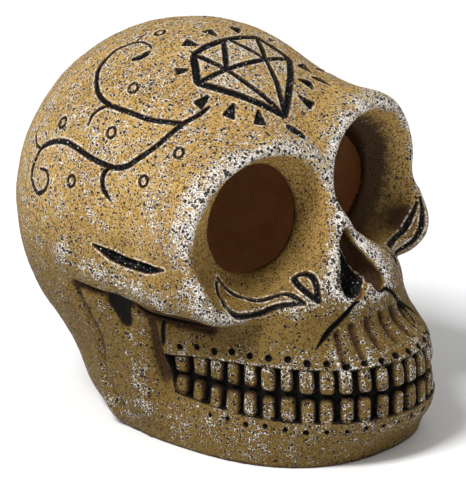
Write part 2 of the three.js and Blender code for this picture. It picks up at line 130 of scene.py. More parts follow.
def outer_form(x, y, z):
    side = np.abs(x)
    tilted = z - FACE_TILT * x
    d = ellipsoid(x, y, z, DOME_CENTRE, DOME_RADII)
    d = smooth_min(d, ellipsoid(x, y, z, (0, -8, 68), (38, 24, 25)), 14)  # forehead
    d = smooth_min(d, ellipsoid(x, y, z, (0, -28, 42), (30, 26, 22)), 12)  # upper jaw
    d = smooth_min(d, arch_block(x, y, z, *TOOTH_ARCH, 21, 14, 10), 10)  # tooth arch
    d = smooth_min(d, arch_block(x, y, z, 36.5, 43.5, -15, 2.35, 4, 12, 12), 8)  # lower jaw
    d = smooth_min(d, arch_block(x, y, z, 34, 35, 8, 2.4, 24, 24, 18), 10)  # neck
    rear = capsule(side, y, z, (36, 15, 37), (30.5, 12, 8), 6.5, 6.5)
    fore = capsule(side, y, z, (36, 2, 34), (34, 0, 12), 6, 6)
    d = smooth_min(d, smooth_min(rear, fore, 8), 4)  # upright branch of the lower jaw
    across, up, out = socket_frame(side, y, tilted)
    rim = (np.sqrt((across / 26.5) ** 2 + (up / 24) ** 2) - 1) * 24
    d = smooth_min(d, smooth_max(rim, np.abs(out + 11.5) - 12, 9), 7)  # orbit
    d = smooth_min(d, capsule(x, y, z, (0, -30.5, 71), (0, -39.5, 64), 3.5, 3.5), 5)  # bridge of the nose
    left = np.where(x > 0, 1.0, 0.0)  # the left cheek bone is modelled fuller and lower
    cheek = ellipsoid(side - 1.4 * left, y + 1.4 * left, tilted + 2 * left, (36, -30, 55), (10, 9, 10))
    d = smooth_min(d, cheek, 7)
    arch_front = capsule(side, y, z, (39, -27, 51), (44, -16, 50), 7, 6)
    arch_back = capsule(side, y, z, (44, -16, 50), (46, 18, 55), 6, 5.5)
    d = smooth_min(d, np.minimum(arch_front, arch_back), 5)
    return smooth_max(d, -arch_pocket(x, y, z), 3)


def socket_cut(x, y, z):
    """A bowl that narrows and leans inwards down to its throat."""
    across, up, out = socket_frame(np.abs(x), y, z - FACE_TILT * x)
    depth = np.minimum(-out / 10, 1)
    depth = np.where(depth > 0, np.abs(depth) ** 1.6, depth)
    half_width, half_height = 23.5 - 8 * depth, 18.8 - 3 * depth
    oval = np.sqrt(((across + 4.5 * depth) / half_width) ** 2 + ((up + 2.5 * depth) / half_height) ** 2)
    return smooth_max((oval - 1) * 15, -(out + 22), 3)


def nose_cut(x, y, z):
    """A pear-shaped pocket: two lobes at its foot that run up to one point."""
    lobes = []
    for foot, radius in (((-5.6, 50.3), 4.3), ((3.8, 49.6), 3.1), ((-1.2, 54.2), 4.9)):
        a = np.array(foot)
        d = np.array([-0.3, 62.5]) - a
        t = np.clip(((x - a[0]) * d[0] + (z - a[1]) * d[1]) / (d @ d), 0, 1)
        lobes.append(np.hypot(x - a[0] - t * d[0], z - a[1] - t * d[1]) - radius * (1 - t) - 0.8 * t)
    pear = smooth_min(smooth_min(lobes[0], lobes[1], 1.2), lobes[2], 1.5)
    return smooth_max(pear, y + 42 - 0.4 * (z - 50), 3)


def cavity(x, y, z):
    c = ellipsoid(x, y, z, (0, 17.5, 58), (44, 43.5, 46))
    c = smooth_min(c, ellipsoid(np.abs(x), y, z, (16, -5, 66), (26, 19.5, 19)), 4)  # behind each eye
    return smooth_min(c, arch_block(x, y, z, 27, 40, -10, 2.4, 5, 23, 6), 8)


def fitting_cuts(x, y, z):
    """Inlet hole with its two spot faces, and the notches and pilot holes for the bridge."""
    off = np.hypot(x, z - INLET_Z)
    cut = np.maximum(off - 4.5, 50 - y)
    cut = np.minimum(cut, np.maximum(off - 8, 64 - y))
    cut = np.minimum(cut, np.maximum(off - 9, np.abs(y - 55) - 5.2))
    side = np.abs(x)
    notch = np.maximum(np.maximum(np.abs(side - 26.6) - 6.7, np.abs(y - BRIDGE_Y) - 6.3), z - 4)
    pilot = np.maximum(np.hypot(side - 30.4, y - BRIDGE_Y) - 1.5, z - 10)
    return np.minimum(cut, np.minimum(notch, pilot))


def noseless(x, y, z):
    return smooth_max(outer_form(x, y, z), -socket_cut(x, y, z), 2.5)


def skin(x, y, z):
    """The outside of the casting with its sockets and nose, without the hollow."""
    return smooth_max(noseless(x, y, z), -nose_cut(x, y, z), 1.0)


def casting(x, y, z):
    d = smooth_max(skin(x, y, z), -cavity(x, y, z), 1)
    d = np.maximum(d, -fitting_cuts(x, y, z))
    return smooth_max(d, -z, 0.8)


# ---- Meshing a field ----

def grid_field(field, low, high, cell, coarse=6):
    """The field on a fine grid, worked out only near the surface."""
    low = np.array(low, float)
    n = np.ceil((np.array(high, float) - low) / cell / coarse).astype(int) * coarse + 1
    blocks = (n - 1) // coarse
    middles = [low[i] + cell * coarse * (np.arange(blocks[i]) + 0.5) for i in range(3)]
    rough = field(*np.meshgrid(*middles, indexing="ij"))
    values = np.where(rough < 0, -9.0, 9.0)
    for axis in range(3):
        values = np.repeat(values, coarse, axis)
    values = np.pad(values, ((0, 1), (0, 1), (0, 1)), mode="edge")
    near = np.argwhere(np.abs(rough) < cell * coarse * 1.3) * coarse
    step = np.arange(coarse + 1)
    for start in range(0, len(near), 4000):
        corner = near[start:start + 4000]
        i, j, k = np.broadcast_arrays(
            corner[:, 0, None, None, None] + step[None, :, None, None],
            corner[:, 1, None, None, None] + step[None, None, :, None],
            corner[:, 2, None, None, None] + step[None, None, None, :],
        )
        values[i, j, k] = field(low[0] + cell * i, low[1] + cell * j, low[2] + cell * k)
    return values, low


def surface_nets(values, low, cell):
    """Vertices and triangles of the surface where the grid of values is zero."""
    inside = values < 0
    n = np.array(values.shape)
    count = np.zeros(n - 1, np.int8)
    corners = [(i, j, k) for i in (0, 1) for j in (0, 1) for k in (0, 1)]
    for i, j, k in corners:
        count += inside[i:n[0] - 1 + i, j:n[1] - 1 + j, k:n[2] - 1 + k]
    cells = np.argwhere((count > 0) & (count < 8))
    index = np.full(n - 1, -1, np.int64)
    index[tuple(cells.T)] = np.arange(len(cells))
    total, crossings = np.zeros((len(cells), 3)), np.zeros(len(cells))
    for corner in corners:
        for axis in range(3):
            if corner[axis]:
                continue
            other = np.array(corner) + np.eye(3, dtype=int)[axis]
            va = values[tuple((cells + corner).T)]
            vb = values[tuple((cells + other).T)]
            crossed = (va < 0) != (vb < 0)
            point = np.tile(np.array(corner, float), (crossed.sum(), 1))
            point[:, axis] += va[crossed] / (va[crossed] - vb[crossed])
            total[crossed] += point
            crossings[crossed] += 1
    vertices = low + cell * (cells + total / crossings[:, None])
    quads = []
    for axis in range(3):
        u, v = (axis + 1) % 3, (axis + 2) % 3
        first = np.take(inside, range(n[axis] - 1), axis)
        second = np.take(inside, range(1, n[axis]), axis)
        for leaving in (True, False):
            edges = np.argwhere(first & ~second if leaving else ~first & second)
            ring = []
            for du, dv in ((-1, -1), (0, -1), (0, 0), (-1, 0)):
                around = edges.copy()
                around[:, u] += du
                around[:, v] += dv
                ring.append(index[tuple(around.T)])
            quads.append(np.stack(ring if leaving else ring[::-1], 1))
    quads = np.concatenate(quads)
    return vertices, np.concatenate([quads[:, [0, 1, 2]], quads[:, [0, 2, 3]]])


def gradient(field, p, step=0.04):
    slope = np.empty_like(p)
    for axis in range(3):
        ahead, behind = p.copy(), p.copy()
        ahead[:, axis] += step
        behind[:, axis] -= step
        slope[:, axis] = (field(*ahead.T) - field(*behind.T)) / (2 * step)
    return slope


def snapped(field, p, rounds=3):
    """Points moved on to the field's surface along its slope."""
    p = p.copy()
    for _ in range(rounds):
        slope = gradient(field, p)
        steep = np.maximum((slope ** 2).sum(1), 0.25)[:, None]
        p -= np.clip(field(*p.T), -0.8, 0.8)[:, None] * slope / steep
    return p


def refined(vertices, triangles, wanted):
    """Every edge with a wanted end is halved, and its triangles are split to match."""
    edges = np.sort(np.concatenate([triangles[:, [0, 1]], triangles[:, [1, 2]], triangles[:, [2, 0]]]), 1)
    unique, inverse = np.unique(edges[:, 0] * len(vertices) + edges[:, 1], return_inverse=True)
    ends = np.stack([unique // len(vertices), unique % len(vertices)], 1)
    split = wanted[ends].any(1)
    middle = np.full(len(unique), -1)
    middle[split] = len(vertices) + np.arange(split.sum())
    added = vertices[ends[split]].mean(1)
    mid = middle[inverse].reshape(3, -1).T  # midpoints of ab, bc and ca, or -1
    marked = mid >= 0
    pieces = [triangles[~marked.any(1)]]
    for turn in range(3):
        a, b, c = np.roll(triangles, -turn, 1).T
        ab, bc, ca = np.roll(mid, -turn, 1).T
        m = np.roll(marked, -turn, 1)
        one = m[:, 0] & ~m[:, 1] & ~m[:, 2]
        pieces += [np.stack([a, ab, c], 1)[one], np.stack([ab, b, c], 1)[one]]
        two = m[:, 0] & m[:, 1] & ~m[:, 2]
        pieces += [np.stack(t, 1)[two] for t in ((ab, b, bc), (a, ab, bc), (a, bc, c))]
    a, b, c = triangles[marked.all(1)].T
    ab, bc, ca = mid[marked.all(1)].T
    pieces += [np.stack(t, 1) for t in ((a, ab, ca), (ab, b, bc), (ca, bc, c), (ab, bc, ca))]
    return np.concatenate([vertices, added]), np.concatenate(pieces)


def value_noise(p, size, seed):
    """Smooth noise from -1 to 1 with lumps of the given size."""
    rng = np.random.default_rng(seed)
    lattice = rng.uniform(-1, 1, (32, 32, 32))
    q = p / size + 16
    cell = np.floor(q).astype(int)
    f = q - cell
    f = f * f * (3 - 2 * f)
    total = np.zeros(len(p))
    for i in (0, 1):
        for j in (0, 1):
            for k in (0, 1):
                weight = (f[:, 0] if i else 1 - f[:, 0]) * (f[:, 1] if j else 1 - f[:, 1])
                weight = weight * (f[:, 2] if k else 1 - f[:, 2])
                at = (cell + (i, j, k)) % 32
                total += weight * lattice[at[:, 0], at[:, 1], at[:, 2]]
    return total


# ---- Engraving: strokes drawn on the skin ----

def on_dome(*angles):
    """Points on the dome: degrees round from the face towards the skull's right, then degrees up."""
    points = []
    for turn, lift in angles:
        a, e = math.radians(turn), math.radians(lift)
        way = np.array([-math.sin(a) * math.cos(e), -math.cos(a) * math.cos(e), math.sin(e)])
        points.append(DOME_CENTRE + way * DOME_RADII[1])
    return points


GEM_CENTRE = np.array([-3.5, -10.6, 105.1])
GEM_OUT = unit((-0.08, -0.49, 0.87))
GEM_ACROSS = unit((0.99, -0.16, 0))
GEM_UP = np.cross(GEM_OUT, GEM_ACROSS)
TABLE_LEFT, TABLE_MIDDLE, TABLE_RIGHT = (-12.8, 12.2), (0.3, 13.6), (12.2, 13)
GIRDLE_LEFT, GIRDLE_RIGHT, GEM_TIP = (-18.6, 1.6), (17.4, 2.4), (0, -18.6)


def on_brow(*points):
    """Points in the plane of the gem, across and up from its centre."""
    return [GEM_CENTRE + u * GEM_ACROSS + v * GEM_UP for u, v in points]


def on_cheek(*points):
    """Points on the left cheek, with the face not yet leaning."""
    return [np.array(p, float) for p in points]


def mirrored(points):
    return [p * (-1, 1, 1) for p in points]


def leaning(points):
    return [p + (0, 0, FACE_TILT * p[0]) for p in points]


def curve_through(points, spacing=0.2):
    """A Catmull-Rom curve as evenly spaced points."""
    p = np.array([2 * points[0] - points[1], *points, 2 * points[-1] - points[-2]])
    t = np.linspace(0, 1, 24, endpoint=False)[:, None]
    spans = []
    for a, b, c, d in zip(p, p[1:], p[2:], p[3:]):
        square, cube = 2 * a - 5 * b + 4 * c - d, 3 * b - a - 3 * c + d
        spans.append(0.5 * (2 * b + (c - a) * t + square * t ** 2 + cube * t ** 3))
    dense = np.concatenate(spans + [np.array([points[-1]])])
    along = np.concatenate([[0], np.cumsum(np.linalg.norm(np.diff(dense, axis=0), axis=1))])
    even = np.linspace(0, along[-1], max(int(along[-1] / spacing), 2))
    return np.stack([np.interp(even, along, dense[:, i]) for i in range(3)], 1)


SPOT_RADIUS = 0.45  # of the dots that fill a wedge


class Engraving:
    """Strokes gathered as points on the skin, each with the stroke's half width and depth there."""

    def __init__(self):
        self.points, self.half_widths, self.depths = [], [], []

    def stroke(self, points, width, depth, start=0.5, end=0.5, straight=False):
        """start and end are the half width's share at the two ends; straight keeps corners sharp."""
        if straight:
            parts = [curve_through([a, b]) for a, b in zip(points, points[1:])]
            line = np.concatenate(parts)
        else:
            line = curve_through(points)
        t = np.linspace(0, 1, len(line))
        share = np.minimum(1, np.minimum(start + (1 - start) * t * 4, end + (1 - end) * (1 - t) * 4))
        self.points.append(snapped(skin, line, 6))
        self.half_widths.append(width / 2 * share)
        self.depths.append(depth * share)

    def dot(self, point, radius, depth):
        self.points.append(snapped(skin, np.array([point], float), 6))
        self.half_widths.append(np.array([radius]))
        self.depths.append(np.array([depth]))

    def ring(self, point, radius, width, depth):
        centre = snapped(skin, np.array([point], float), 6)
        out = unit(gradient(skin, centre)[0])
        across = unit(np.cross((0.1, 0.2, 1), out))
        up = np.cross(out, across)
        turn = np.linspace(0, 2 * math.pi, 40, endpoint=False)[:, None]
        circle = centre + radius * (np.cos(turn) * across + 1.15 * np.sin(turn) * up)
        self.points.append(snapped(skin, circle, 4))
        self.half_widths.append(np.full(len(turn), width / 2))
        self.depths.append(np.full(len(turn), depth))

    def wedge(self, foot, point, width, place, depth):
        """A filled triangle from foot, the middle of its base, to point, in the plane that place maps."""
        foot, point = np.array(foot), np.array(point)
        length = np.linalg.norm(point - foot)
        way = (point - foot) / length
        side = np.array([-way[1], way[0]])
        spots = []
        for t in np.linspace(0, 1, int(length / 0.25)):
            reach = max(width / 2 - SPOT_RADIUS, 0) * (1 - t)
            for step in np.linspace(-reach, reach, max(int(reach / 0.12), 1)):
                spots.append(tuple(foot + t * length * way + step * side))
        self.points.append(snapped(skin, np.array(place(*spots)), 6))
        self.half_widths.append(np.full(len(spots), SPOT_RADIUS))
        self.depths.append(np.full(len(spots), depth))

    def measure(self, p, where):
        """Distance from the nearest stroke's edge (negative inside) and the depth there, where asked for."""
        points = np.concatenate(self.points)
        half_widths, depths = np.concatenate(self.half_widths), np.concatenate(self.depths)
        tree = KDTree(len(points))
        for i, point in enumerate(points):
            tree.insert(point, i)
        tree.balance()
        asked = np.flatnonzero(where)
        found = [tree.find(q)[1:] for q in p[asked]]
        nearest = np.array([index for index, gap in found])
        gaps = np.array([gap for index, gap in found])
        half = np.maximum(half_widths[nearest], 0.05)
        distance, depth = np.full(len(p), 9.0), np.zeros(len(p))
        distance[asked] = gaps - half
        depth[asked] = depths[nearest] * np.clip(1.15 - (gaps / half) ** 2, 0, 1)
        return distance, depth


def dome_strokes(e):
    """Scrolls with small rings on each temple."""
    scrolls = [
        (on_dome((40.5, 48), (46, 45), (52, 42.5)), 1.3, 0.6, 1.0),
        (on_dome((52, 42.5), (58, 43), (67, 43.5), (77, 45), (89, 46), (98, 48), (106, 51.5), (114, 56),
                 (118.5, 61.5), (118.5, 66), (111, 70.5), (99, 71.5), (90, 70.5)), 1.35, 1.0, 0.3),
        (on_dome((88, 46), (92.5, 44), (95, 41), (94.5, 37.5)), 0.9, 0.8, 0.3),
        (on_dome((114, 70), (121, 74), (127, 75)), 0.5, 0.6, 0.3),
        (on_dome((52, 42.5), (56, 39.5), (61.5, 35), (67.5, 31), (72, 27.7), (77, 26.5), (82, 27), (88, 28),
                 (95.5, 29.5), (103, 30), (110.5, 28), (116, 24.5), (118, 20.5), (118, 16), (116, 12.5),
                 (111, 10.5), (107, 12.8), (106, 16.3), (108.5, 18.6), (112.5, 18.3)), 1.45, 1.0, 0.4),
        (on_dome((117, 24), (121, 24), (125.5, 26), (127, 29)), 0.75, 0.8, 0.3),
        (on_dome((79.2, 26.3), (81, 23.5), (80.2, 19.5), (78.3, 17.5), (76.5, 15.8)), 1.3, 0.8, 0.3),
    ]
    rings = on_dome((108, 78), (81, 53.5), (110, 35), (82.3, 37.3), (52, 31.7), (64.5, 23.4), (94, 19))
    for flip in (list, mirrored):
        for points, width, start, end in scrolls:
            e.stroke(flip(points), width, 0.8, start, end)
        for point in flip(rings):
            e.ring(point, 1.35, 0.7, 0.4)
        comma = flip(on_dome((89, 68.7), (91, 65.6), (95, 64)))
        e.stroke(comma, 2.0, 0.8, 0.5, 0.7)


def gem_strokes(e):
    """A cut gem on the forehead: table, crown, girdle and pavilion."""
    node_left, node_right = (-8, 1.8), (6.4, 1.8)
    heavy = [(TABLE_LEFT, (-6.5, 13.2), TABLE_MIDDLE, (6.5, 13.6), TABLE_RIGHT), (TABLE_RIGHT, GIRDLE_RIGHT)]
    heavy += [(GIRDLE_RIGHT, GEM_TIP), (GEM_TIP, GIRDLE_LEFT), (GIRDLE_LEFT, TABLE_LEFT)]
    for line in heavy:
        e.stroke(on_brow(*line), 2.1, 1.2, 0.9, 0.9, straight=True)
    fine = [(TABLE_LEFT, node_left), ((-0.8, 13.2), node_left)]
    fine += [((1.6, 12.8), node_right), (TABLE_RIGHT, node_right)]
    fine += [(GIRDLE_LEFT, node_left), (node_left, node_right), (node_right, GIRDLE_RIGHT)]
    fine += [(node_left, (-3.8, -8.6), GEM_TIP), (node_right, (4, -7.5), GEM_TIP)]
    for line in fine:
        e.stroke(on_brow(*line), 1.5, 0.9, 0.7, 0.7, straight=True)


def ray_strokes(e):
    """Short wedges that stand round the gem like rays, and a short stroke under its tip."""
    feet = [(-11, 18.6), (-1, 20.8), (9, 20), (20.6, 14), (22.8, -1), (25, -6), (16.8, -8.8), (11.4, -16)]
    feet += [(-9.2, -18), (-16.4, -12.2), (-22.6, -4.8), (-21.8, 9.6)]
    for foot in feet:
        outwards = np.array(foot) / math.hypot(*foot)
        on_right = foot[0] < -9 and foot[1] < 10
        length, width = (4.4, 3.6) if on_right else (4.2, 3.8)
        base = np.array(foot) + 0.5 * outwards
        e.wedge(base, base - length * outwards, width, on_brow, 0.9)
    e.stroke(on_brow((-0.4, -22.0), (3.0, -25.6)), 2.4, 0.9, 0.8, 0.8)


def under_arch():
    """The lower edge of the left cheek arch, from its rear end forwards."""
    return on_cheek((48.5, 16.5, 45.5), (47, 5, 44), (45, -1.5, 42.5), (41.5, -6.5, 39.5), (36.5, -16.5, 38),
                    (34.5, -22.5, 37.5))


def cheek_strokes(e):
    """A leaf and a teardrop outlined under each eye, and a slot over the cheek arch."""
    right_upper = on_cheek((33, -24, 55), (31, -29, 50.5), (28.5, -34, 49.5), (22.5, -38.5, 50.5),
                           (21.5, -43, 50), (20.5, -45.5, 48.5))
    right_lower = on_cheek((34.5, -25, 54.5), (38.5, -30, 52), (40, -33.5, 50.5), (37.5, -36, 48),
                           (30, -37, 46.5), (25.5, -40, 48), (20.5, -45.5, 48.5))
    left_upper = on_cheek((44.5, -31.5, 54.5), (41, -32.5, 52), (35.5, -34, 49.5), (29.5, -35.5, 49),
                          (23.5, -39, 49.5), (20.5, -44, 49))
    left_lower = on_cheek((46, -31.5, 55.5), (44.5, -33.5, 52.5), (40.5, -36.5, 49.5), (34.5, -38, 47),
                          (29, -38, 46), (24, -41, 47.5), (20.5, -44, 49))
    drop = on_cheek((17.5, -48, 49), (15.5, -45, 53.3), (14.2, -41, 54), (14.5, -38.5, 53.5),
                    (16, -37.5, 52.7), (18.5, -42.5, 51.7), (18.7, -46, 50.5), (17.5, -48, 49))
    slot = on_cheek((50, 7.5, 60), (49, -2, 57.5), (48.5, -12, 57), (48.5, -18, 58))
    for line in (right_upper, right_lower):
        e.stroke(leaning(mirrored(line)), 1.6, 0.9, 0.5, 0.5)
    for line in (left_upper, left_lower):
        e.stroke(leaning(line), 1.5, 0.9, 0.5, 0.5)
    for flip in (list, mirrored):
        e.stroke(leaning(flip(drop)), 1.6, 0.9, 1, 1)
        e.stroke(flip(slot), 2.6, 2.4, 0.2, 0.15)


def crack_and_shadow_strokes(e):
    """Cracks over the upper jaw, and dark lines of painted shadow under each cheek arch."""
    right_crack = on_cheek((-6, -53, 46.5), (-12.5, -52, 42), (-16, -51, 39.5), (-21.5, -50.5, 35))
    left_crack = on_cheek((1, -53, 48.5), (7.5, -53, 45.5), (12, -52.5, 41), (15, -53, 37.5),
                          (15.5, -56, 34.5))
    left_fork = on_cheek((13, -52, 40.5), (18, -52, 37), (21, -52, 34))
    e.stroke(right_crack, 1.6, 1.1, 0.6, 0.2)
    e.stroke(left_crack, 1.2, 0.9, 0.5, 0.3)
    e.stroke(left_fork, 1.1, 0.9, 0.5, 0.2)
    # painted shadow: dark lines under each cheek arch and down the front edge of the jaw's upright branch
    for flip in (list, mirrored):
        e.stroke(flip(on_cheek((40, -9.5, 37.5), (38.5, -8, 30))), 1.4, 0.9, 0.8, 0.3)
        e.stroke(flip(under_arch()), 0.9, 0.7, 0.4, 0.2)


# ---- Mouth ----

BITE_Z = 22
MOUTH_END_Y = -9.5
TEETH_PER_ROW = 26
TOOTH_CORNER = 1.4  # how round a tooth's outline is at its corners


def tooth_line():
    """The arch the teeth stand on, from the right corner of the mouth round to the left, seen from above."""
    t = np.linspace(0, math.pi, 240)
    cos, sin = -np.cos(t), np.sin(t)
    half_width, half_length, middle, power = TOOTH_ARCH
    x = np.sign(cos) * np.abs(cos) ** (2 / power) * half_width
    y = middle - np.abs(sin) ** (2 / power) * half_length
    return np.concatenate([[[-half_width, MOUTH_END_Y]], np.stack([x, y], 1), [[half_width, MOUTH_END_Y]]])


TOOTH_LINE = tooth_line()
TOOTH_ALONG = np.concatenate([[0], np.cumsum(np.linalg.norm(np.diff(TOOTH_LINE, axis=0), axis=1))])
TOOTH_PITCH = TOOTH_ALONG[-1] / TEETH_PER_ROW


def along_mouth(p):
    """How far along the tooth line each point stands."""
    bearing = np.arctan2(TOOTH_LINE[:, 0], MOUTH_END_Y + 0.01 - TOOTH_LINE[:, 1])
    at = np.interp(np.arctan2(p[:, 0], MOUTH_END_Y + 0.01 - p[:, 1]), bearing, TOOTH_ALONG)
    behind = p[:, 1] - MOUTH_END_Y
    return np.where(behind > 0, np.where(p[:, 0] < 0, -behind, TOOTH_ALONG[-1] + behind), at)


def mouth(p):
    """Depth of the tooth band under the gums, and distances from the edges of its black paint and itself."""
    rng = np.random.default_rng(7)
    s = along_mouth(p)
    middle = TOOTH_ALONG[-1] / 2
    rear = np.clip(np.abs(s - middle) / middle, 0, 1.3)  # 0 at the front teeth, 1 at the corners
    gum_top = BITE_Z + 8.2 - 2.6 * rear ** 4
    gum_bottom = BITE_Z - 7.4 + 2.2 * rear ** 4
    lean = 0.35 * (p[:, 2] - BITE_Z)
    ends = np.maximum(-s - 0.2 - lean, s - TOOTH_ALONG[-1] - 0.2 - lean)
    band = np.maximum(np.maximum(p[:, 2] - gum_top, gum_bottom - p[:, 2]), ends)
    on_tooth = np.full(len(p), 9.0)
    number = np.clip(np.floor(s / TOOTH_PITCH).astype(int), 0, TEETH_PER_ROW - 1)
    for upper in (True, False):
        size = rng.uniform(-0.28, 0.22, TEETH_PER_ROW)
        shift = rng.uniform(-0.25, 0.25, TEETH_PER_ROW)
        lift = rng.uniform(-0.4, 0.4, TEETH_PER_ROW)
        high = gum_top + 0.2 if upper else BITE_Z - 0.7
        low = BITE_Z + 0.7 if upper else gum_bottom - 0.2
        half_width = TOOTH_PITCH / 2 - 0.8 + size[number]
        across = np.abs(s - (number + 0.5) * TOOTH_PITCH - shift[number]) - half_width
        height = np.abs(p[:, 2] - (high + low) / 2 - lift[number]) - (high - low) / 2
        across, height = across + TOOTH_CORNER, height + TOOTH_CORNER
        corner = np.hypot(np.maximum(across, 0), np.maximum(height, 0)) - TOOTH_CORNER
        on_tooth = np.minimum(on_tooth, corner + np.minimum(np.maximum(across, height), 0))
    pillow = 0.35 + 1.3 * (1 - np.sqrt(1 - np.clip(1 + on_tooth / 1.8, 0, 1) ** 2))
    floor = 3.2 * np.clip(0.45 + on_tooth / 0.7, 0, 1)
    depth = np.where(on_tooth < -0.3, pillow, np.maximum(pillow, floor))
    inside = np.clip(-band / 0.5, 0, 1)
    paint = np.maximum(-on_tooth, band)
    return depth * inside, paint, band


def jaw_dots(e):
    """A drilled dot over and under every tooth."""
    rng = np.random.default_rng(11)
    for i in range(TEETH_PER_ROW):
        s = (i + 0.5) * TOOTH_PITCH
        x, y = [np.interp(s, TOOTH_ALONG, TOOTH_LINE[:, k]) for k in (0, 1)]
        front = 1 - abs(2 * s / TOOTH_ALONG[-1] - 1)
        height = BITE_Z + 9.4 + 2.6 * front + rng.uniform(-0.6, 0.6)
        e.dot((x, y, height), rng.uniform(0.85, 1.05) + 0.15 * front, 1.2)
        if 1 < i < TEETH_PER_ROW - 2:
            e.dot((x, y, BITE_Z - 8.6 - 1.8 * front + rng.uniform(-0.5, 0.5)), rng.uniform(0.6, 0.85), 0.9)


def soft_valleys(p):
    """Shallow modelled grooves without paint: tooth roots, and the edges of the jaw's upright branch.

    Returns their depth, the wash that lies in them (painted shade in the groove under each cheek arch), and
    the crests on both sides of the roots.
    """
    depth = np.zeros(len(p))
    crest = np.zeros(len(p))
    lines = []
    for x in (-19, -12, -5, 2.2, 9, 16):
        root = leaning(on_cheek((x, -60, 33.5), (x * 0.9, -57, 36.5), (x * 0.8, -54, 40)))
        lines.append((root, 1.0, 1.5, True))
    rear = on_cheek((47.5, 17, 45.5), (44, 14.5, 34), (41.5, 13.5, 27.5), (39.5, 14.5, 20.5), (38.5, 14, 14),
                    (38, 9, 7.5))
    fore = on_cheek((41.5, -6.5, 38), (38.5, -6.5, 27), (37, -8, 20.5))
    for flip in (list, mirrored):
        lines.append((flip(rear), 1.3, 2.2, False))
        lines.append((flip(fore), 1.3, 1.2, False))
        # the groove under each cheek arch: the wash laid in it is painted shade under the arch
        lines.append((flip(under_arch()), 1.5, 1.6, False))
    wash_and_shade = np.zeros(len(p))
    for points, half, deep, crested in lines:
        line = snapped(skin, curve_through(points, 0.6), 6)
        near = np.flatnonzero((p > line.min(0) - 3 * half).all(1) & (p < line.max(0) + 3 * half).all(1))
        gap = np.min([np.linalg.norm(p[near] - q, axis=1) for q in line], axis=0)
        bowl = np.exp(-(gap / half) ** 2)
        depth[near] = np.maximum(depth[near], deep * bowl)
        wash_and_shade[near] = np.maximum(wash_and_shade[near], bowl)
        if crested:
            crest[near] = np.maximum(crest[near], np.exp(-((gap - 2.0) / 0.7) ** 2))
    return depth, wash_and_shade, crest


# ---- The skull casting ----

def inside_gem(p):
    """1 inside the gem's outline and 0 outside it."""
    q = p - GEM_CENTRE
    across, up = q @ GEM_ACROSS, q @ GEM_UP
    inside = np.abs(q @ GEM_OUT) < 12
    corners = (GIRDLE_LEFT, GEM_TIP, GIRDLE_RIGHT, TABLE_RIGHT, TABLE_LEFT)
    for a, b in zip(corners, corners[1:] + corners[:1]):
        inside &= (b[0] - a[0]) * (up - a[1]) > (b[1] - a[1]) * (across - a[0])
    return inside.astype(float)


def bend_of(p, reach):
    """How much the skin bulges (positive) or hollows (negative) within reach of each point."""
    total = np.zeros(len(p))
    for way in [(i, j, k) for i in (-1, 1) for j in (-1, 1) for k in (-1, 1)]:
        q = p + reach * unit(way)
        total += skin(*q.T)
    return total / 8 / reach


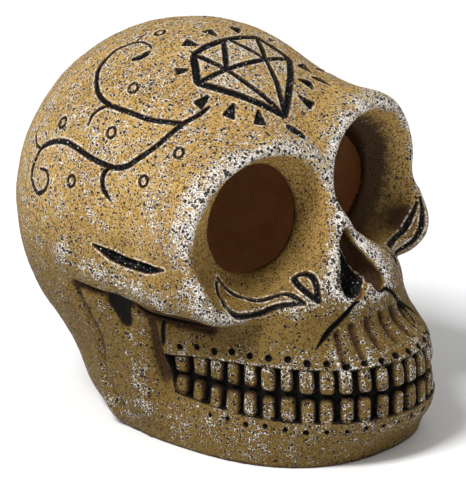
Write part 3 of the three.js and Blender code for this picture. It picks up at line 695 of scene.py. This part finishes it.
def skull_casting():
    values, low = grid_field(casting, (-60, -74, -3), (60, 75, 120), MESH_CELL)
    vertices, triangles = surface_nets(values, low, MESH_CELL)
    vertices = snapped(casting, vertices, 2)
    painted, cracks_and_shadow_lines = Engraving(), Engraving()
    dome_strokes(painted)
    gem_strokes(painted)
    ray_strokes(painted)
    cheek_strokes(painted)
    crack_and_shadow_strokes(cracks_and_shadow_lines)
    jaw_dots(cracks_and_shadow_lines)
    for reach in (2.4, 1.3, 0.7):
        outside = skin(*vertices.T) > -0.6
        ink = np.minimum(painted.measure(vertices, outside)[0], cracks_and_shadow_lines.measure(vertices, outside)[0])
        paint, band = mouth(vertices)[1:]
        ink = np.where(vertices[:, 1] < 0, np.minimum(ink, np.where(band < 1, np.abs(paint) * 1.2, 9)), ink)
        before = len(vertices)
        vertices, triangles = refined(vertices, triangles, outside & (ink < reach))
        vertices[before:] = snapped(casting, vertices[before:], 2)
    outside = skin(*vertices.T) > -0.6
    normals = gradient(casting, vertices)
    normals /= np.maximum(np.linalg.norm(normals, axis=1), 1e-6)[:, None]
    ink, groove = painted.measure(vertices, outside)
    crack_and_shade, crack_depth = cracks_and_shadow_lines.measure(vertices, outside)
    mouth_depth, mouth_paint, band = mouth(vertices)
    jaw = outside & (vertices[:, 1] < 4)
    mouth_depth = np.where(jaw, mouth_depth, 0)
    crack_and_shade = np.where(jaw, np.minimum(crack_and_shade, mouth_paint), crack_and_shade)
    # painted shade: the hollow under each cheek arch is painted black
    crack_and_shade = np.where(outside, np.minimum(crack_and_shade, arch_pocket(*vertices.T) - 0.5), crack_and_shade)
    in_nose = np.where(outside, np.maximum(-noseless(*vertices.T), 0), 0)
    in_socket = np.where(outside, np.maximum(-outer_form(*vertices.T), 0), 0)
    nose_paint_from = 2.5 + 1.2 * np.clip(vertices[:, 0] + 0.5, 0, 4)
    ink = np.where(in_nose > 0.5, np.minimum(ink, nose_paint_from - in_nose), ink)
    valleys, valley_wash_and_shade, crest = soft_valleys(vertices)
    lumps = 0.0
    for size, height, seed in ((9, 0.22, 1), (3.5, 0.12, 2), (1.4, 0.06, 3)):
        lumps = lumps + height * value_noise(vertices, size, seed)
    depth = np.maximum(np.maximum(groove, crack_depth), mouth_depth) + valleys + lumps
    depth = np.where(outside & (vertices[:, 2] > 0.6), depth, 0)
    deep_in = np.clip(in_socket / 5, 0, 1)
    broad, fine = bend_of(vertices, 5.0) * (1 - deep_in), bend_of(vertices, 1.8) * (1 - deep_in)
    tooth_face = jaw & (band < -0.5) & (mouth_paint > 0.6)
    tooth_edge = tooth_face & (mouth_paint < 1.3)
    gum_line = jaw & (band > 0.2) & (band < 0.7) & (vertices[:, 2] > BITE_Z)
    brush = broad * 3.8 + fine * 2.6 - 0.10 + 0.15 * inside_gem(vertices)
    brush += 0.2 * tooth_face + 0.3 * tooth_edge + 0.4 * gum_line + 0.6 * crest
    # brown wash in the soft valleys and hollows (under the cheek arches it is painted shade), and darker
    # along the bottom edge
    wash_and_shade = 1.0 * valley_wash_and_shade - broad * 4 - fine * 2.5 + 0.6 * np.clip((3 - vertices[:, 2]) / 3, 0, 1)
    socket_shade = np.where(vertices[:, 0] > 0, 1.1, 0.3)  # painted shade deep in the eye sockets, heavier in the left socket
    wash_and_shade += np.clip(in_nose - 0.3, 0, 1) + socket_shade * np.clip((in_socket - 2) / 6, 0, 1)
    # painted shade round the rims of the eye holes
    wash_and_shade += 0.8 * deep_in * np.clip(1 - np.abs(cavity(*vertices.T)) / 3, 0, 1)
    # painted shade on the sides of the teeth beside the black gaps
    wash_and_shade += 0.7 * np.where(jaw & (band < 0.2), np.clip(1.2 - mouth_paint, 0, 1), 0)
    brush = np.clip(brush - 1.1 * deep_in - 0.6 * np.clip(in_nose, 0, 1), -0.6, 1)
    wash_and_shade = np.clip(wash_and_shade - 0.2 * (vertices[:, 0] < 0) * deep_in, 0, 1)
    placed = vertices - normals * depth[:, None]
    placed[:, 1] += CENTRE_SHIFT
    mesh = bpy.data.meshes.new("skull_casting")
    mesh.from_pydata(placed / 1000, [], triangles)
    mesh.polygons.foreach_set("use_smooth", np.ones(len(mesh.polygons), bool))
    layers = {
        "ink": np.clip(ink, -3, 3),
        "crack_and_shade": np.clip(crack_and_shade, -3, 3),
        "brush": brush,
        "wash_and_shade": wash_and_shade,
        "bare": np.where(outside, 0.0, 1.0),
    }
    for name, values in layers.items():
        mesh.attributes.new(name, "FLOAT", "POINT").data.foreach_set("value", values.astype(np.float32))
    obj = bpy.data.objects.new("skull_casting", mesh)
    bpy.context.scene.collection.objects.link(obj)
    return obj


# ---- Materials ----

class Shader:
    """A Principled material wired from procedural nodes; textures are sized in millimetres."""

    def __init__(self, name, sockets=None):
        self.material = bpy.data.materials.new(name)
        self.material.use_nodes = True
        self.tree = self.material.node_tree
        self.surface = self.tree.nodes["Principled BSDF"]
        for key, value in (sockets or {}).items():
            self.surface.inputs[key].default_value = value
        place = self.node("ShaderNodeTexCoord").outputs["Object"]
        self.mm = self.node("ShaderNodeVectorMath", {0: place, "Scale": 1000}, operation="SCALE").outputs[0]

    def node(self, kind, inputs=None, **settings):
        made = self.tree.nodes.new(kind)
        for key, value in settings.items():
            setattr(made, key, value)
        for key, value in (inputs or {}).items():
            if isinstance(value, bpy.types.NodeSocket):
                self.tree.links.new(value, made.inputs[key])
            else:
                made.inputs[key].default_value = value
        return made

    def math(self, operation, a, b=0.0):
        return self.node("ShaderNodeMath", {0: a, 1: b}, operation=operation).outputs[0]

    def step(self, value, low, high):
        """0 at low, 1 at high, smooth between."""
        inputs = {"Value": value, "From Min": low, "From Max": high}
        return self.node("ShaderNodeMapRange", inputs, interpolation_type="SMOOTHSTEP").outputs[0]

    def mix(self, share, a, b):
        colours = {0: share, 6: a, 7: b}
        return self.node("ShaderNodeMix", colours, data_type="RGBA").outputs[2]

    def noise(self, size, detail=3.0, roughness=0.55, place=None):
        inputs = {"Vector": place or self.mm, "Scale": 1 / size, "Detail": detail, "Roughness": roughness}
        return self.node("ShaderNodeTexNoise", inputs).outputs[0]

    def cells(self, size, place=None):
        """Distance from the middle of the nearest cell, in cells, and the cell's own random colour."""
        inputs = {"Vector": place or self.mm, "Scale": 1 / size}
        made = self.node("ShaderNodeTexVoronoi", inputs)
        return made.outputs["Distance"], made.outputs["Color"]

    def stirred(self, size, amount):
        """Coordinates pushed about by noise."""
        inputs = {"Vector": self.mm, "Scale": 1 / size, "Detail": 2.0}
        noise = self.node("ShaderNodeTexNoise", inputs).outputs["Color"]
        kind = "ShaderNodeVectorMath"
        push = self.node(kind, {0: noise, 1: (0.5, 0.5, 0.5)}, operation="SUBTRACT").outputs[0]
        push = self.node(kind, {0: push, "Scale": amount}, operation="SCALE").outputs[0]
        return self.node(kind, {0: self.mm, 1: push}, operation="ADD").outputs[0]

    def attribute(self, name):
        return self.node("ShaderNodeAttribute", attribute_name=name).outputs["Fac"]

    def first(self, colour):
        return self.node("ShaderNodeSeparateColor", {0: colour}).outputs[0]

    def second(self, colour):
        return self.node("ShaderNodeSeparateColor", {0: colour}).outputs[1]

    def link(self, name, value):
        self.tree.links.new(value, self.surface.inputs[name])

    def bump(self, height, distance_mm, strength=1.0):
        inputs = {"Height": height, "Distance": distance_mm / 1000, "Strength": strength}
        self.link("Normal", self.node("ShaderNodeBump", inputs).outputs[0])


RESIN = {
    "ochre": (0.39, 0.24, 0.064, 1),
    "deep_ochre": (0.29, 0.165, 0.040, 1),
    "grain": (0.54, 0.37, 0.15, 1),
    # painted shade for the lower part of the skull
    "painted_low_shade": (0.098, 0.060, 0.010, 1),
    "wash_and_shade": (0.040, 0.019, 0.006, 1),
    "brushed_white": (0.86, 0.83, 0.78, 1),
    "small_pit": (0.085, 0.036, 0.010, 1),
    "pit": (0.010, 0.005, 0.003, 1),
    "groove_lip": (0.70, 0.64, 0.55, 1),
    "groove_wall": (0.07, 0.034, 0.010, 1),
    # dark of the cracks, dots and mouth, also the painted shadow under the cheek arches
    "crack_and_shade": (0.004, 0.003, 0.002, 1),
    # painted glint of a grey glitter flake
    "grey_flake_glint": (0.20, 0.20, 0.21, 1),
    "black_paint": (0.006, 0.006, 0.007, 1),
    "inner_wall": (0.62, 0.34, 0.15, 1),
    "pale_inner_wall": (0.74, 0.42, 0.20, 1),
}


def cast_resin():
    s = Shader("cast_resin", {"Specular IOR Level": 0.14})
    ink, crack_and_shade = s.attribute("ink"), s.attribute("crack_and_shade")
    brush, wash_and_shade, bare = s.attribute("brush"), s.attribute("wash_and_shade"), s.attribute("bare")
    stirred = s.stirred(0.9, 1.1)
    # ochre body, mottled, darkened low down with painted shade
    place = s.node("ShaderNodeSeparateXYZ", {0: s.mm}).outputs[2]
    low = s.step(s.math("ADD", place, s.math("MULTIPLY", s.noise(20, 2), 16)), 84, 44)
    tone = s.noise(16, 4)
    ochre = s.mix(s.step(tone, 0.35, 0.65), RESIN["ochre"], RESIN["deep_ochre"])
    grain = s.noise(0.7, 4, 0.7)
    ochre = s.mix(s.step(grain, 0.40, 0.72), ochre, RESIN["grain"])
    ochre = s.mix(s.math("MULTIPLY", low, 0.84), ochre, RESIN["painted_low_shade"])
    # brown wash lying in hollows, with painted shade in the eye sockets, round the eye holes, beside the
    # teeth and under the cheek arches
    blotch = s.noise(2.0, 5, 0.7)
    stain_and_shade = s.step(s.math("ADD", s.math("MULTIPLY", wash_and_shade, 0.8), s.math("MULTIPLY", blotch, 0.6)), 0.42, 1.0)
    body = s.mix(stain_and_shade, ochre, RESIN["wash_and_shade"])
    # pits with dark wash in them, in two sizes
    crowd = s.noise(5, 3)
    near, colour = s.cells(1.15, stirred)
    radius = s.math("ADD", s.math("MULTIPLY", s.first(colour), 0.30), 0.11)
    radius = s.math("ADD", radius, s.math("MULTIPLY", brush, 0.12))
    some = s.math("ADD", s.second(colour), s.math("ADD", crowd, s.math("MULTIPLY", wash_and_shade, 0.4)))
    some = s.math("ADD", some, s.math("MULTIPLY", brush, 0.6))
    # fewer pits low down, where the painted shade lies
    some = s.math("SUBTRACT", some, s.math("MULTIPLY", low, 0.12))
    some = s.step(some, 0.74, 0.78)
    past = s.math("SUBTRACT", near, radius)
    pit = s.math("MULTIPLY", s.step(past, 0.06, -0.06), some)
    near_small, colour_small = s.cells(0.6, stirred)
    some_small = s.step(s.math("ADD", s.first(colour_small), s.math("MULTIPLY", crowd, 0.8)), 0.70, 0.76)
    pit_small = s.math("MULTIPLY", s.step(near_small, 0.44, 0.30), some_small)
    pits = s.math("MAXIMUM", pit, pit_small)
    # white dry brushing on the high skin between the pits, thinner where the wash and the painted shade lie
    flecks = s.noise(0.42, 4, 0.8, s.stirred(2.2, 1.5))
    patch = s.noise(5, 3)
    bar = s.math("SUBTRACT", 0.635, s.math("MULTIPLY", brush, 0.17))
    bar = s.math("SUBTRACT", bar, s.math("MULTIPLY", s.math("SUBTRACT", patch, 0.5), 0.38))
    bar = s.math("ADD", bar, s.math("MULTIPLY", s.math("ADD", wash_and_shade, low), 0.062))
    white = s.step(s.math("SUBTRACT", flecks, bar), -0.03, 0.03)
    rim = s.math("MULTIPLY", s.step(past, 0.24, 0.14), some)
    rim = s.math("MULTIPLY", rim, s.step(s.math("SUBTRACT", flecks, bar), -0.16, -0.10))
    white = s.math("MAXIMUM", white, rim)
    body = s.mix(s.math("MULTIPLY", white, 0.93), body, RESIN["brushed_white"])
    body = s.mix(s.math("MULTIPLY", pit_small, 0.85), body, RESIN["small_pit"])
    body = s.mix(s.math("MULTIPLY", pit, 0.96), body, RESIN["pit"])
    # the engraving: stained walls, a brushed white lip, and glitter paint in the bottom whose flakes carry
    # painted glints
    rough_edge = s.math("ADD", ink, s.math("MULTIPLY", s.math("SUBTRACT", s.noise(0.8, 3), 0.5), 0.5))
    lip = s.math("MULTIPLY", s.step(rough_edge, 0.15, 0.35), s.step(rough_edge, 0.85, 0.5))
    lip = s.math("MULTIPLY", lip, s.step(s.noise(1.6, 4, 0.7), 0.46, 0.54))
    body = s.mix(s.math("MULTIPLY", lip, 0.8), body, RESIN["groove_lip"])
    body = s.mix(s.step(rough_edge, 0.40, -0.05), body, RESIN["groove_wall"])
    # cracks, drilled dots and black mouth paint, and painted shadow under the cheek arches and in the
    # hollows beneath them
    rough_crack_and_shade = s.math("ADD", crack_and_shade, s.math("MULTIPLY", s.math("SUBTRACT", s.noise(0.8, 3), 0.5), 0.6))
    body = s.mix(s.step(rough_crack_and_shade, 0.25, -0.15), body, RESIN["crack_and_shade"])
    painted = s.step(rough_edge, 0.0, -0.16)
    # glitter flakes in the black paint; their sparkle, where they catch the light, is a painted glint
    spark, spark_colour = s.cells(0.5)
    lit = s.step(s.first(spark_colour), 0.86, 0.90)
    bright = s.step(s.second(spark_colour), 0.80, 0.86)
    hue = s.mix(0.5, (1.0, 1.0, 1.0, 1), spark_colour)
    flake_glint = s.mix(bright, RESIN["grey_flake_glint"], hue)
    paint = s.mix(s.math("MULTIPLY", lit, s.step(spark, 0.5, 0.3)), RESIN["black_paint"], flake_glint)
    body = s.mix(painted, body, paint)
    # unpainted inner wall
    inner = s.mix(s.step(s.noise(9, 3), 0.3, 0.7), RESIN["inner_wall"], RESIN["pale_inner_wall"])
    body = s.mix(bare, body, inner)
    s.link("Base Color", body)
    gloss = s.math("ADD", 0.72, s.math("MULTIPLY", painted, -0.34))
    gloss = s.math("ADD", gloss, s.math("MULTIPLY", bare, -0.2))
    s.link("Roughness", gloss)
    height = s.math("ADD", s.math("MULTIPLY", pits, -1.0), s.math("MULTIPLY", grain, 0.35))
    height = s.math("ADD", height, s.math("MULTIPLY", white, 0.12))
    height = s.math("MULTIPLY", height, s.math("SUBTRACT", 1.0, s.math("MULTIPLY", bare, 0.85)))
    facets = s.math("MULTIPLY", s.first(spark_colour), 0.4)
    height = s.math("ADD", height, s.math("MULTIPLY", painted, facets))
    s.bump(height, 0.6)
    return s.material


def moulded_plastic(name, colour, roughness):
    s = Shader(name, {"Specular IOR Level": 0.5})
    speck = s.noise(0.25, 4, 0.7)
    dark, light = [tuple(share * c for c in colour) + (1,) for share in (0.85, 1.15)]
    shade = s.mix(s.noise(6, 3), dark, light)
    s.link("Base Color", shade)
    s.link("Roughness", s.math("ADD", roughness - 0.06, s.math("MULTIPLY", speck, 0.14)))
    s.bump(speck, 0.03)
    return s.material


def nitrile_rubber():
    s = Shader("nitrile_rubber", {"Specular IOR Level": 0.35})
    dust = s.noise(0.5, 5, 0.7)
    s.link("Base Color", s.mix(s.step(dust, 0.45, 0.8), (0.010, 0.010, 0.010, 1), (0.035, 0.034, 0.032, 1)))
    s.link("Roughness", s.math("ADD", 0.7, s.math("MULTIPLY", dust, 0.2)))
    s.bump(dust, 0.05)
    return s.material


def silicone_hose():
    s = Shader("silicone_hose", {"Transmission Weight": 0.45, "IOR": 1.41})
    cloud = s.noise(4, 3)
    s.link("Base Color", s.mix(cloud, (0.60, 0.66, 0.64, 1), (0.72, 0.77, 0.75, 1)))
    s.link("Roughness", s.math("ADD", 0.22, s.math("MULTIPLY", s.noise(0.6, 3), 0.2)))
    s.bump(s.noise(1.2, 2), 0.04)
    return s.material


def bonded_grit():
    s = Shader("bonded_grit", {"Roughness": 0.95})
    edge, colour = s.cells(0.55)
    tone = s.first(colour)
    grit = s.mix(tone, (0.07, 0.115, 0.17, 1), (0.27, 0.34, 0.40, 1))
    pore = s.step(s.noise(1.1, 4, 0.7), 0.42, 0.36)
    s.link("Base Color", s.mix(s.math("MULTIPLY", pore, 0.8), grit, (0.02, 0.03, 0.045, 1)))
    height = s.math("SUBTRACT", s.math("SUBTRACT", 1.0, edge), s.math("MULTIPLY", pore, 0.8))
    s.bump(height, 0.3)
    return s.material


def brushed_stainless():
    s = Shader("brushed_stainless", {"Metallic": 1.0})
    ring = s.noise(0.35, 4, 0.7)
    s.link("Base Color", s.mix(ring, (0.50, 0.50, 0.49, 1), (0.66, 0.66, 0.65, 1)))
    s.link("Roughness", s.math("ADD", 0.24, s.math("MULTIPLY", ring, 0.16)))
    s.bump(ring, 0.02)
    return s.material


def dress(material, *nodes):
    for node in nodes:
        for held in bpy.data.objects[node].material_slots:
            held.material = material


# ---- Stage ----

def stage():
    side = 6.0
    mesh = bpy.data.meshes.new("floor")
    corners = [(-side, -side, 0), (side, -side, 0), (side, side, 0), (-side, side, 0)]
    mesh.from_pydata(corners, [], [(0, 1, 2, 3)])
    floor = bpy.data.objects.new("floor", mesh)
    pale = bpy.data.materials.new("pale_floor")
    pale.use_nodes = True
    surface = pale.node_tree.nodes["Principled BSDF"]
    surface.inputs["Base Color"].default_value = (0.86, 0.86, 0.86, 1)
    surface.inputs["Roughness"].default_value = 0.9
    mesh.materials.append(pale)
    bpy.context.scene.collection.objects.link(floor)
    world = bpy.data.worlds.new("studio")
    world.use_nodes = True
    world.node_tree.nodes["Background"].inputs[0].default_value = (1, 1, 1, 1)
    world.node_tree.nodes["Background"].inputs[1].default_value = 0.5
    bpy.context.scene.world = world


def softbox(name, place, power, size):
    data = bpy.data.lights.new(name, "AREA")
    data.energy, data.size = power, size
    obj = bpy.data.objects.new(name, data)
    obj.location = place
    obj.rotation_mode = "QUATERNION"
    obj.rotation_quaternion = (Vector(place) - Vector((0, 0, 0.05))).to_track_quat("Z", "Y")
    bpy.context.scene.collection.objects.link(obj)


# ---- Put together ----

camera(azimuth=-48, elevation=19.5, distance=1.6, focal=11.265, aim=(0.0114, 0.0064, 0.0431))
stage()
softbox("key", (-1.6, 0.1, 2.3), 84, 0.8)
softbox("fill", (0.5, -0.9, 0.5), 1, 0.6)

skull = skull_casting()
skull.data.materials.append(cast_resin())
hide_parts("skull_shell")
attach(skull, "skull")

dress(moulded_plastic("black_plastic", (0.016, 0.017, 0.019), 0.34),
      "inlet_elbow", "inlet_nut", "stone_nipple")
dress(moulded_plastic("grey_plastic", (0.115, 0.12, 0.126), 0.5),
      "tube_clip", "stone_saddle_front", "stone_saddle_rear", "stone_bridge")
dress(nitrile_rubber(), "inlet_grommet")
dress(silicone_hose(), "air_tube")
dress(bonded_grit(), "air_stone")
dress(brushed_stainless(), "bridge_screw_left", "bridge_screw_right")

bpy.context.scene.view_settings.view_transform = "Standard"
